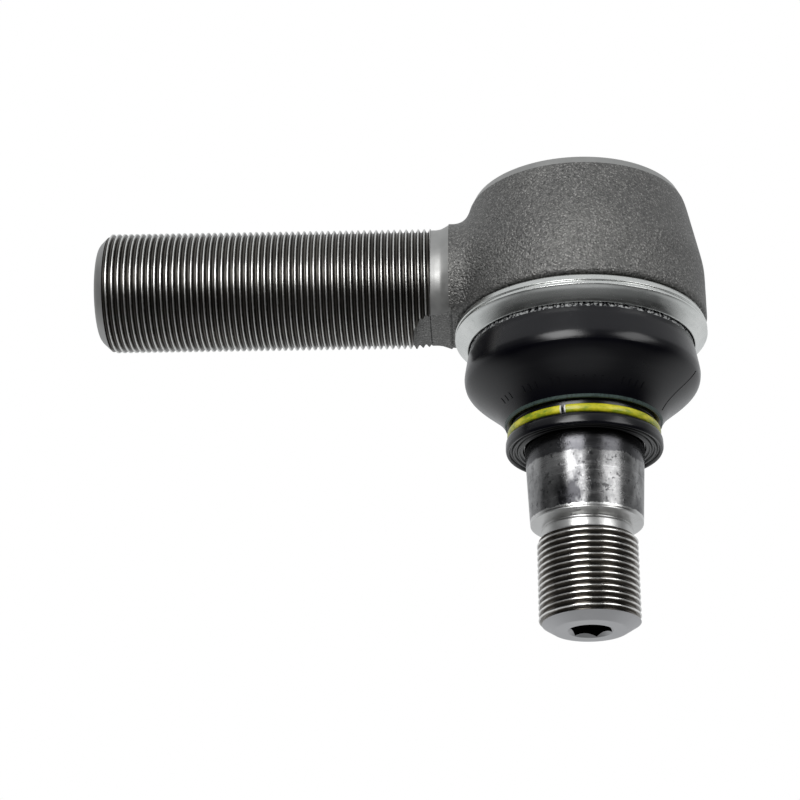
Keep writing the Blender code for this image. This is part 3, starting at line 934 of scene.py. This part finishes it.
def build_clamp():
    """Yellow ring of flat section with a split whose cut ends are bare and pale."""
    low, high, outer = CLAMP_LOW[2], CLAMP_HIGH[2], CLAMP_HIGH[0]
    bore, face = 17.6, 18.1
    section = soften([
        (bore, high),
        (face, high, 0.25),
        (outer - 0.02, high - 0.45, 0.4),
        (outer - 0.02, low + 0.45, 0.4),
        (face, low, 0.25),
        (bore, low),
    ])
    ring = turned("clamp_ring_yellow", section, YELLOW, angle=60.0)
    pale = turned_finish("clamp_cut_end", (0.8, 0.8, 0.72), 0.5, 1500.0, "Z", metallic=0.0)
    half, inside, outside = SPLIT_HALF, 15.0, 21.0
    slot = [(inside, -half), (outside, -half), (outside, half), (inside, half)]
    cosine, sine = math.cos(SPLIT_ANGLE), math.sin(SPLIT_ANGLE)
    outline = [(x * cosine - y * sine, x * sine + y * cosine) for x, y in slot]
    cut(ring, prism("split_tool", outline, low - 1.0, high + 1.0, "Z", pale), angle=60.0)
    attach(ring, "boot_end")
    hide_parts("boot_clamp_ring")


# ---- the stud --------------------------------------------------------------------------------
def build_stud():
    """Ball, neck, 1:10 cone, shoulder and relief, then the thread with its hexagon socket."""
    flat = STUD_HIGH[2]
    neck, land_radius = 11.5, 15.0
    neck_top = -math.sqrt(BALL_RADIUS ** 2 - neck ** 2)
    start = math.degrees(math.asin(flat / BALL_RADIUS))
    end = math.degrees(math.asin(neck_top / BALL_RADIUS))
    section = [(0.0, flat)] + arc(0.0, 0.0, BALL_RADIUS, start, end, 40)
    section += soften([
        (neck, neck_top - 0.01),
        (neck, -28.0, 2.0),
        (12.4, -31.2, 1.5),
        (land_radius, -33.5, 0.5),
        (land_radius, -43.1),
    ])
    section += [(14.4, -43.4), (0.0, -43.4)]
    upper = turned("stud_ball_and_neck", section, STUD_LAND, closed=False)
    cone_top, cone_bottom = -43.2, -62.9
    cone_section = soften([
        (0.0, cone_top),
        (14.38, cone_top),
        (13.42, -62.4, 0.15),
        (13.3, cone_bottom),
    ])
    cone_section.append((0.0, cone_bottom))
    cone = turned("stud_cone", cone_section, CONE, closed=False)
    land = soften([
        (0.0, -62.8),
        (13.36, -62.8),
        (13.36, -63.05, 0.15),
        (11.0, SHOULDER_END, 0.25),
        (RELIEF_RADIUS - 0.45, SHOULDER_END - 0.1, 0.1),
        (RELIEF_RADIUS - 0.45, SHOULDER_END - 0.5, 0.1),
        (RELIEF_RADIUS, SHOULDER_END - 0.85, 0.15),
        (RELIEF_RADIUS, -66.7, 0.3),
        (10.75, -68.0),
        (0.0, -68.0),
    ])
    shoulder = turned("stud_shoulder", land, SHOULDER, closed=False)

    first = STUD_END - 1.1
    turns = 17
    thread = helix("stud_thread", first, turns, STUD_CREST, "Z", STUD_THREAD)
    clear = STUD_CREST + 0.09
    envelope = soften([
        (0.0, -66.5),
        (10.9, -66.5),
        (clear, -67.6),
        (clear, STUD_END + 2.15, 0.15),
        (8.7, STUD_END, 0.25),
        (0.0, STUD_END),
    ])
    limits = turned("stud_length_tool", envelope, STUD_FACE, closed=False, phase=0.37)
    cut(thread, limits, "INTERSECT", 25.0)
    mouth = [
        (0.0, STUD_END + 0.9),
        (4.45, STUD_END + 0.9),
        (6.35, STUD_END - 1.0),
        (0.0, STUD_END - 1.0),
    ]
    countersink = turned("mouth_tool", mouth, STUD_FACE, closed=False, steps=96, phase=0.23)
    cut(thread, countersink, angle=25.0)
    across_flats, first_corner = 9.0, 11.6
    hexagon = arc(0.0, 0.0, across_flats / math.sqrt(3.0), first_corner, first_corner + 300.0, 5)
    socket = prism("socket_tool", hexagon, STUD_END - 2.0, STUD_END + 8.0, "Z", STUD_THREAD)
    cut(thread, socket, angle=25.0)
    for piece in (upper, cone, shoulder, thread):
        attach(piece, "ball_stud")
    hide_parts("ball_stud")


def build_springs():
    """Two coned washers, back to back."""
    springs = (("lower_disc_spring", LOWER_RISES), ("upper_disc_spring", not LOWER_RISES))
    for node, rises_inward in springs:
        low, high = mm(node)
        cone = high[2] - low[2] - SPRING_THICKNESS
        inner = cone if rises_inward else 0.0
        section = [
            (high[0], low[2] + cone - inner + SPRING_THICKNESS),
            (high[0], low[2] + cone - inner),
            (SPRING_HOLE, low[2] + inner),
            (SPRING_HOLE, low[2] + inner + SPRING_THICKNESS),
        ]
        spring = turned(node + "_coned", section, COVER, steps=96)
        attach(spring, "housing")
        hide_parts(node)
        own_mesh(spring)


def dress_inner_parts():
    """Finishes for the CAD pieces that stay, hidden inside the joint."""
    plastic = Finish("bearing_plastic", metallic=0.0)
    dark, light = (0.66, 0.65, 0.6), (0.78, 0.77, 0.72)
    plastic.colour(plastic.ramp(plastic.noise(90.0, 3.0), [(0.3, dark), (0.7, light)]))
    plastic.roughness(plastic.ramp(plastic.noise(500.0), [(0.3, 0.38), (0.7, 0.52)]))
    looks = {
        "lower_ball_seat": plastic.material,
        "upper_ball_seat": plastic.material,
        "cover_seal_ring": RUBBER,
        "spring_plate": STUD_FACE,
        "lip_support_ring": STUD_FACE,
    }
    for node, material in looks.items():
        mesh = frame["nodes"][node].data
        mesh.materials.clear()
        mesh.materials.append(material)


# ---- studio ----------------------------------------------------------------------------------
def build_studio():
    """A pale floor, a white background, a soft dome of light and two soft keys."""
    floor_height, size = -0.46, 12.0
    corners = [(-size, -size), (size, -size), (size, size), (-size, size)]
    mesh = bpy.data.meshes.new("studio_floor")
    mesh.from_pydata([(x, y, floor_height) for x, y in corners], [], [(0, 1, 2, 3)])
    floor = bpy.data.objects.new("studio_floor", mesh)
    bpy.context.collection.objects.link(floor)
    pale = Finish("pale_floor", (0.8, 0.8, 0.8), 0.7)
    pale.colour(pale.ramp(pale.noise(3.0), [(0.3, 0.78), (0.7, 0.82)]))
    mesh.materials.append(pale.material)
    floor.visible_glossy = False
    floor.visible_diffuse = False

    bpy.context.scene.view_settings.view_transform = "Standard"
    world = bpy.data.worlds.new("studio")
    bpy.context.scene.world = world
    world.use_nodes = True
    nodes, links = world.node_tree.nodes, world.node_tree.links
    nodes.clear()

    def calculate(operation, *values):
        node = nodes.new("ShaderNodeMath")
        node.operation = operation
        for socket, value in zip(node.inputs, values):
            if isinstance(value, (int, float)):
                socket.default_value = value
            else:
                links.new(value, socket)
        return node.outputs["Value"]

    def ramp(value, stops):
        node = nodes.new("ShaderNodeValToRGB")
        node.color_ramp.interpolation = "EASE"
        elements = node.color_ramp.elements
        while len(elements) < len(stops):
            elements.new(0.5)
        for element, (position, level) in zip(elements, stops):
            element.position = position
            element.color = (level, level, level, 1.0)
        links.new(value, node.inputs["Fac"])
        return node.outputs["Color"]

    direction = nodes.new("ShaderNodeTexCoord")
    split = nodes.new("ShaderNodeSeparateXYZ")
    links.new(direction.outputs["Generated"], split.inputs["Vector"])
    up = calculate("MULTIPLY_ADD", split.outputs["Z"], 0.5, 0.5)
    back = calculate("MULTIPLY_ADD", split.outputs["Y"], 0.5, 0.5)
    below = [(0.0, 0.5), (0.06, 0.14), (0.26, 0.022)]
    above = [(0.5, 0.042), (0.66, 0.18), (0.8, 0.56), (1.0, 0.7)]
    dome = ramp(up, below + above)
    wall = ramp(back, [(0.42, 0.0), (0.78, 0.7)])
    strength = calculate("MAXIMUM", dome, wall)
    lit = nodes.new("ShaderNodeBackground")
    lit.inputs["Color"].default_value = (0.97, 0.985, 1.0, 1.0)
    links.new(strength, lit.inputs["Strength"])
    seen = nodes.new("ShaderNodeBackground")
    seen.inputs["Color"].default_value = (1.0, 1.0, 1.0, 1.0)
    path = nodes.new("ShaderNodeLightPath")
    mix = nodes.new("ShaderNodeMixShader")
    links.new(path.outputs["Is Camera Ray"], mix.inputs["Fac"])
    links.new(lit.outputs["Background"], mix.inputs[1])
    links.new(seen.outputs["Background"], mix.inputs[2])
    out = nodes.new("ShaderNodeOutputWorld")
    links.new(mix.outputs["Shader"], out.inputs["Surface"])

    def panel(name, azimuth, elevation, half_width, half_height, radiance):
        """A soft light seen from the ball at these angles, in degrees, from the front and level."""
        distance = 0.9
        light = bpy.data.lights.new(name, "AREA")
        light.shape = "RECTANGLE"
        light.size = 2 * distance * math.tan(math.radians(half_width))
        light.size_y = 2 * distance * math.tan(math.radians(half_height))
        light.energy = radiance * math.pi * light.size * light.size_y
        obj = bpy.data.objects.new(name, light)
        bpy.context.collection.objects.link(obj)
        a, e = math.radians(azimuth), math.radians(elevation)
        away = Vector((math.sin(a) * math.cos(e), -math.cos(a) * math.cos(e), math.sin(e)))
        obj.location = BALL + away * distance
        obj.rotation_euler = (-away).to_track_quat("-Z", "Z").to_euler()

    panel("key_left", -20.0, 9.0, 15.0, 16.0, 6.2)
    panel("key_right", 48.0, 9.0, 13.0, 16.0, 2.8)


def build_camera():
    """Below the part, looking up at it, as it is usually pictured."""
    yaw, pitch, roll = (math.radians(a) for a in (-2.783, 23.26, 0.343))
    ahead = math.cos(pitch)
    forward = Vector((math.sin(yaw) * ahead, math.cos(yaw) * ahead, math.sin(pitch)))
    level = Vector((math.cos(yaw), -math.sin(yaw), 0.0))
    upright = level.cross(forward)
    right = math.cos(roll) * level + math.sin(roll) * upright
    up = -math.sin(roll) * level + math.cos(roll) * upright
    data = bpy.data.cameras.new("camera")
    data.sensor_width = 36.0
    data.lens = 88.76
    data.clip_start = 0.01
    camera = bpy.data.objects.new("camera", data)
    bpy.context.collection.objects.link(camera)
    place = BALL + Vector((-22.97, -441.46, -220.05)) * MM
    turn = Matrix((right, up, -forward)).transposed()
    camera.matrix_world = Matrix.Translation(place) @ turn.to_4x4()
    bpy.context.scene.camera = camera


build_forging()
build_shank()
build_cover()
build_retaining_ring()
build_boot()
build_clamp()
build_stud()
build_springs()
dress_inner_parts()
build_studio()
build_camera()
